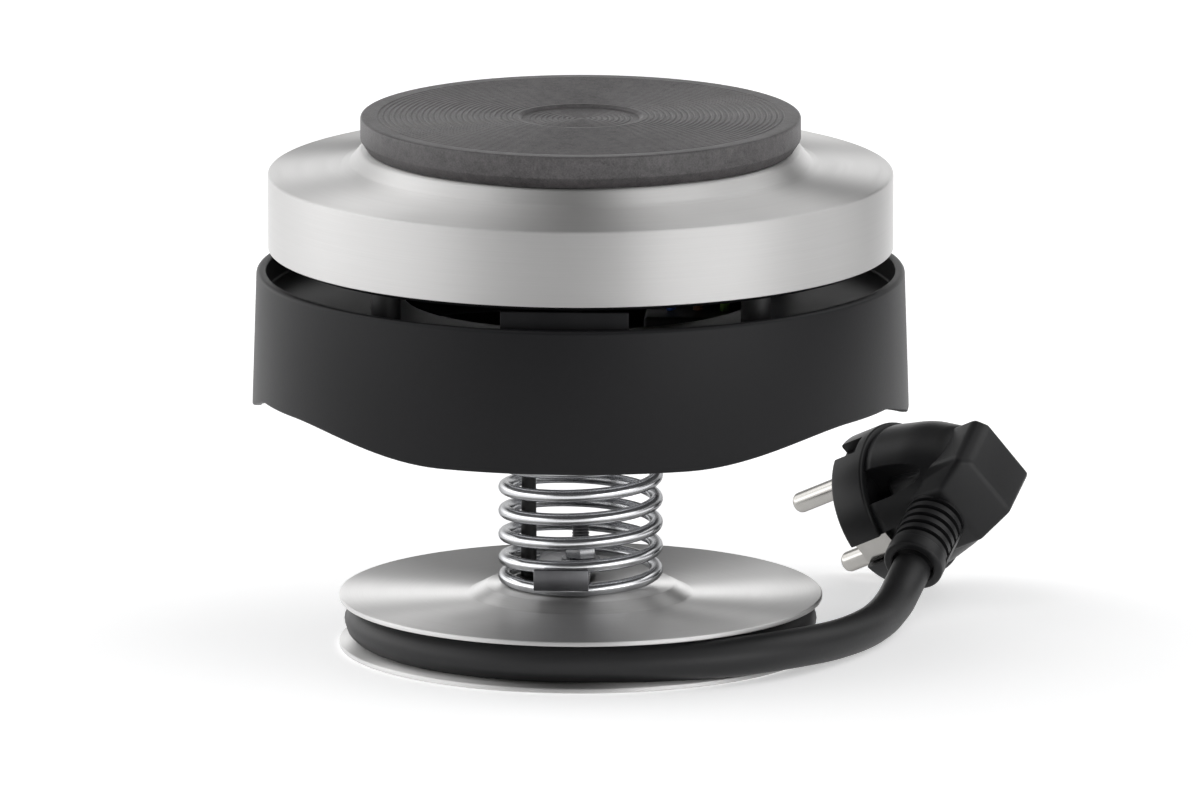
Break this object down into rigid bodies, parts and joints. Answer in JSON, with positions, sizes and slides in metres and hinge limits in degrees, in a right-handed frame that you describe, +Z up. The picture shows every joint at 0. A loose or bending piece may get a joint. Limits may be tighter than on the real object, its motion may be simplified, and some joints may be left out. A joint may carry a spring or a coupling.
{
  "type": "hot plate burner",
  "caption": "Round electric hot plate for a chafing dish, its head carried on a coil spring above a spool that stores the mains cord.",
  "frame": {"origin": "centre of the underside of the spool's lower disc, on the surface that the burner stands on", "axes": "+Z up along the spring and the hot plate's axis, -Y towards the front of the head, +X to the right"},
  "size_m": [0.1756, 0.1598, 0.1223],
  "materials": {
    "steel": "brushed round the turned pieces",
    "zinc": "bright zinc plating",
    "cast_iron": "matt, with fine turned grooves",
    "skirt_plastic": "satin moulded",
    "black_plastic": "satin moulded",
    "plug_plastic": "satin moulded",
    "rubber": "matt",
    "nickel": "satin nickel plating",
    "dark_sheet": "heat-darkened sheet steel",
    "ceramic": "unglazed",
    "mineral_wool": "pressed fibre",
    "brown_insulation": "silicone",
    "blue_insulation": "silicone",
    "green_insulation": "silicone"
  },
  "bodies": {
    "base": {"lower_disc": "steel", "upper_disc": "steel", "spool_core": "black_plastic", "bolt_spacer": "zinc", "base_bolt": "zinc", "base_bolt_washer": "zinc", "base_bolt_nut": "zinc", "lower_spring_clamp": "zinc", "lead_grommet": "rubber", "spring": "zinc", "riser_lead": "rubber", "cord_coil": "rubber", "cord": "rubber", "plug_sleeve": "rubber", "plug_body": "plug_plastic", "plug_pin_1": "nickel", "plug_pin_2": "nickel", "plug_earth_1": "nickel", "plug_earth_2": "nickel"},
    "spring_top": {"spring_top_plate": "zinc"},
    "rocker": {"upper_spring_clamp": "zinc"},
    "head": {"head_bolt": "zinc", "head_bolt_nut": "zinc", "skirt": "skirt_plastic", "bottom_cover": "dark_sheet", "bottom_screw_1": "zinc", "bottom_screw_2": "zinc", "bottom_screw_3": "zinc", "spacer_post_1": "black_plastic", "spacer_post_2": "black_plastic", "spacer_post_3": "black_plastic", "spacer_post_4": "black_plastic", "post_screw_1": "zinc", "post_screw_2": "zinc", "post_screw_3": "zinc", "post_screw_4": "zinc", "front_tab": "dark_sheet", "heat_shield": "dark_sheet", "steel_cover": "steel", "hot_plate": "cast_iron", "heater_element": "dark_sheet", "plate_cap": "dark_sheet", "insulation_disc": "mineral_wool", "mounting_bridge": "zinc", "plate_stud": "zinc", "stud_washer": "zinc", "stud_nut": "zinc", "thermostat": "ceramic", "thermal_fuse": "nickel", "terminal_block": "black_plastic", "lead_clamp": "black_plastic", "lead_clamp_screw": "zinc", "earth_lug": "nickel", "earth_screw": "zinc", "live_lead": "brown_insulation", "neutral_lead": "blue_insulation", "earth_lead": "green_insulation"}
  },
  "joints": [
    {"name": "spring_travel", "type": "slide", "parent": "base", "child": "spring_top", "axis": [0, 0, 1], "range_m": [-0.018, 0.004], "stiffness_N_per_m": 2300, "springref_m": 0.004, "deforming": ["spring", "riser_lead"]},
    {"name": "rock_fore_aft", "type": "hinge", "parent": "spring_top", "child": "rocker", "pos_m": [0, 0, 0.0598], "axis": [1, 0, 0], "range_deg": [-4, 4], "stiffness_Nm_per_rad": 1.6},
    {"name": "rock_sideways", "type": "hinge", "parent": "rocker", "child": "head", "pos_m": [0, 0, 0.0598], "axis": [0, 1, 0], "range_deg": [-4, 4], "stiffness_Nm_per_rad": 1.6}
  ]
}
